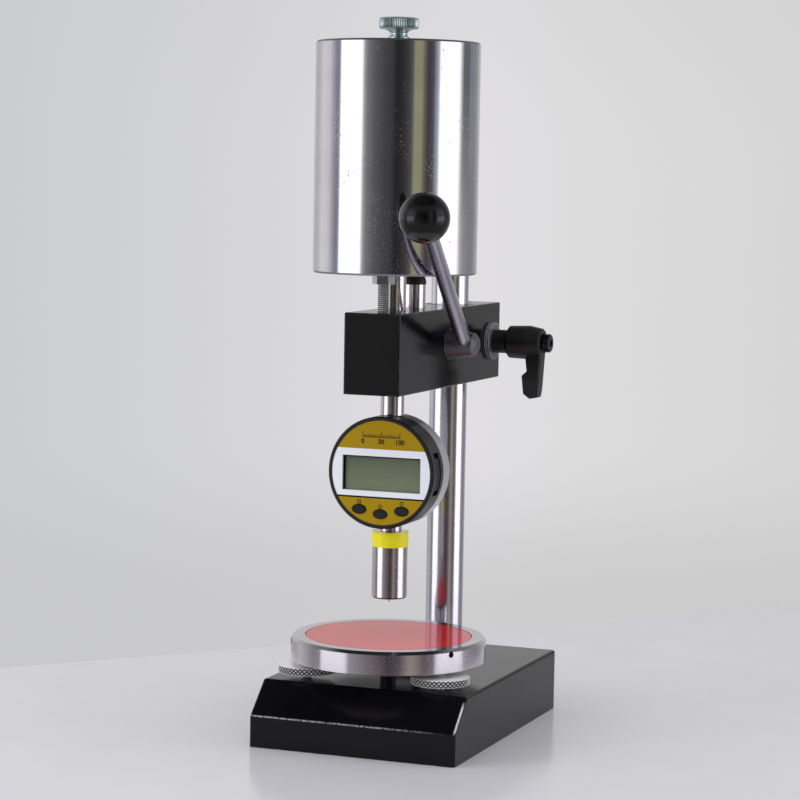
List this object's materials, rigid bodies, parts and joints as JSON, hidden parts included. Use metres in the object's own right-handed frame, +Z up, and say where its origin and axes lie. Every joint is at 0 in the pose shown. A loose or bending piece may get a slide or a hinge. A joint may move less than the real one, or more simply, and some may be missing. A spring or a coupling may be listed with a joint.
{
  "type": "durometer test stand",
  "caption": "Digital durometer on a dead-weight stand: round mass on a guided spindle, lever with rack and pinion, clamped arm on a post, levelled round anvil.",
  "frame": {"origin": "centre of the base underside", "axes": "+X to the side of the lever, +Y from the anvil to the post, +Z up"},
  "size_m": [0.1187, 0.2302, 0.3667],
  "materials": {
    "black_enamel": "gloss",
    "hard_chrome": "polished",
    "zinc_steel": "zinc plated",
    "dark_steel": "oiled",
    "turned_steel": "polished turning",
    "red_lacquer": "gloss",
    "spring_steel": "plain",
    "bronze": "machined",
    "black_satin": "satin",
    "black_rubber": "matte",
    "black_resin": "gloss",
    "black_plastic": "satin",
    "shell_metal": "polished",
    "printed_face": "printed",
    "clear_window": "clear",
    "display": "flat",
    "circuit_green": "satin",
    "key_plastic": "gloss",
    "satin_steel": "satin",
    "yellow_film": "satin"
  },
  "bodies": {
    "base": {"base_plate": "black_enamel", "column": "hard_chrome", "column_washer": "zinc_steel", "column_screw": "dark_steel", "table_springs": "spring_steel"},
    "table": {"anvil_ring": "turned_steel", "anvil_disc": "red_lacquer", "disc_grub_screws": "dark_steel", "table_screw": "dark_steel", "table_washer": "zinc_steel"},
    "levelling_right": {"levelling_screw_right": "zinc_steel"},
    "levelling_left": {"levelling_screw_left": "zinc_steel"},
    "levelling_rear": {"levelling_screw_rear": "zinc_steel"},
    "arm_carriage": {"column_bush": "bronze"},
    "arm": {"arm_block": "black_satin", "spindle_bush_lower": "bronze", "spindle_bush_upper": "bronze", "shaft_bush": "bronze", "spring_cover": "zinc_steel", "cover_ring": "spring_steel", "return_spring": "spring_steel"},
    "clamp": {"clamp_screw": "dark_steel", "clamp_washers": "zinc_steel", "handle_screw": "dark_steel", "handle_spring": "spring_steel"},
    "handle": {"clamp_handle": "black_satin"},
    "lever": {"lever_shaft": "hard_chrome", "pinion": "dark_steel", "pinion_key": "dark_steel", "lever_rod": "hard_chrome", "ball_knob": "black_resin"},
    "lifter": {"lifter": "hard_chrome", "lifter_cap": "black_rubber"},
    "load": {"weight": "turned_steel", "spindle": "hard_chrome", "thumb_washer": "zinc_steel", "guide_stud": "zinc_steel", "lock_nut": "zinc_steel", "stop_nut": "zinc_steel", "gauge_case": "black_plastic", "port_cover": "black_plastic", "gauge_back": "shell_metal", "back_screws": "zinc_steel", "face_plate": "printed_face", "lcd_window": "clear_window", "lcd_panel": "display", "circuit_board": "circuit_green", "battery": "zinc_steel", "sensor_head": "black_plastic", "button_domes": "spring_steel", "presser_foot": "satin_steel", "foot_label": "yellow_film", "indenter_spring": "spring_steel"},
    "thumb": {"thumb_screw": "zinc_steel"},
    "indenter": {"indenter": "satin_steel"},
    "button_left": {"button_left": "key_plastic"},
    "button_middle": {"button_middle": "key_plastic"},
    "button_right": {"button_right": "key_plastic"}
  },
  "joints": [
    {"name": "table_lift", "type": "slide", "parent": "base", "child": "table", "axis": [0, 0, 1], "range_m": [-0.0005, 0.0005], "deforming": ["table_springs"]},
    {"name": "levelling_turn_right", "type": "hinge", "parent": "base", "child": "levelling_right", "pos_m": [0.03611, -0.05085, 0.037], "axis": [0, 0, 1], "range_deg": [-225.1, 225.1]},
    {"name": "levelling_turn_left", "type": "hinge", "parent": "base", "child": "levelling_left", "pos_m": [-0.03611, -0.05085, 0.037], "axis": [0, 0, 1], "range_deg": [-225.1, 225.1]},
    {"name": "levelling_turn_rear", "type": "hinge", "parent": "base", "child": "levelling_rear", "pos_m": [0, 0.0117, 0.037], "axis": [0, 0, 1], "range_deg": [-225.1, 225.1]},
    {"name": "arm_slide", "type": "slide", "parent": "base", "child": "arm_carriage", "axis": [0, 0, 1], "range_m": [-0.003, 0.08]},
    {"name": "arm_swivel", "type": "hinge", "parent": "arm_carriage", "child": "arm", "pos_m": [0, 0.0525, 0.199], "axis": [0, 0, 1], "range_deg": [-45, 45]},
    {"name": "clamp_turn", "type": "hinge", "parent": "arm", "child": "clamp", "pos_m": [0.025, 0.077, 0.199], "axis": [1, 0, 0], "range_deg": [0, 90]},
    {"name": "handle_lift", "type": "slide", "parent": "clamp", "child": "handle", "axis": [1, 0, 0], "range_m": [0, 0.004], "stiffness_N_per_m": 3900, "springref_m": -0.001, "deforming": ["handle_spring"]},
    {"name": "load_slide", "type": "slide", "parent": "arm", "child": "load", "axis": [0, 0, 1], "range_m": [-0.012, 0], "stiffness_N_per_m": 1500, "springref_m": 0.043, "deforming": ["return_spring"]},
    {"name": "lever_turn", "type": "hinge", "parent": "arm", "child": "lever", "pos_m": [0, 0.0106, 0.2012], "axis": [1, 0, 0], "range_deg": [0, 76.42]},
    {"name": "lifter_slide", "type": "slide", "parent": "arm", "child": "lifter", "axis": [0, 0, 1], "range_m": [-0.012, 0]},
    {"name": "thumb_screw_turn", "type": "hinge", "parent": "load", "child": "thumb", "pos_m": [0, -0.03, 0.36], "axis": [0, 0, 1], "range_deg": [0, 360]},
    {"name": "indenter_slide", "type": "slide", "parent": "load", "child": "indenter", "axis": [0, 0, 1], "range_m": [0, 0.0025], "stiffness_N_per_m": 17800, "deforming": ["indenter_spring"]},
    {"name": "button_left_press", "type": "slide", "parent": "load", "child": "button_left", "axis": [0, 1, 0], "range_m": [0, 0.0006], "stiffness_N_per_m": 2000, "springref_m": -0.0005, "deforming": ["button_domes"]},
    {"name": "button_middle_press", "type": "slide", "parent": "load", "child": "button_middle", "axis": [0, 1, 0], "range_m": [0, 0.0006], "stiffness_N_per_m": 2000, "springref_m": -0.0005},
    {"name": "button_right_press", "type": "slide", "parent": "load", "child": "button_right", "axis": [0, 1, 0], "range_m": [0, 0.0006], "stiffness_N_per_m": 2000, "springref_m": -0.0005}
  ],
  "couplings": [
    {"joint": "lever_turn", "follows": "load_slide", "rad_per_m": -111.11},
    {"joint": "lifter_slide", "follows": "load_slide", "ratio": 1},
    {"joint": "levelling_turn_right", "follows": "table_lift", "rad_per_m": -7854},
    {"joint": "levelling_turn_left", "follows": "table_lift", "rad_per_m": -7854},
    {"joint": "levelling_turn_rear", "follows": "table_lift", "rad_per_m": -7854}
  ]
}
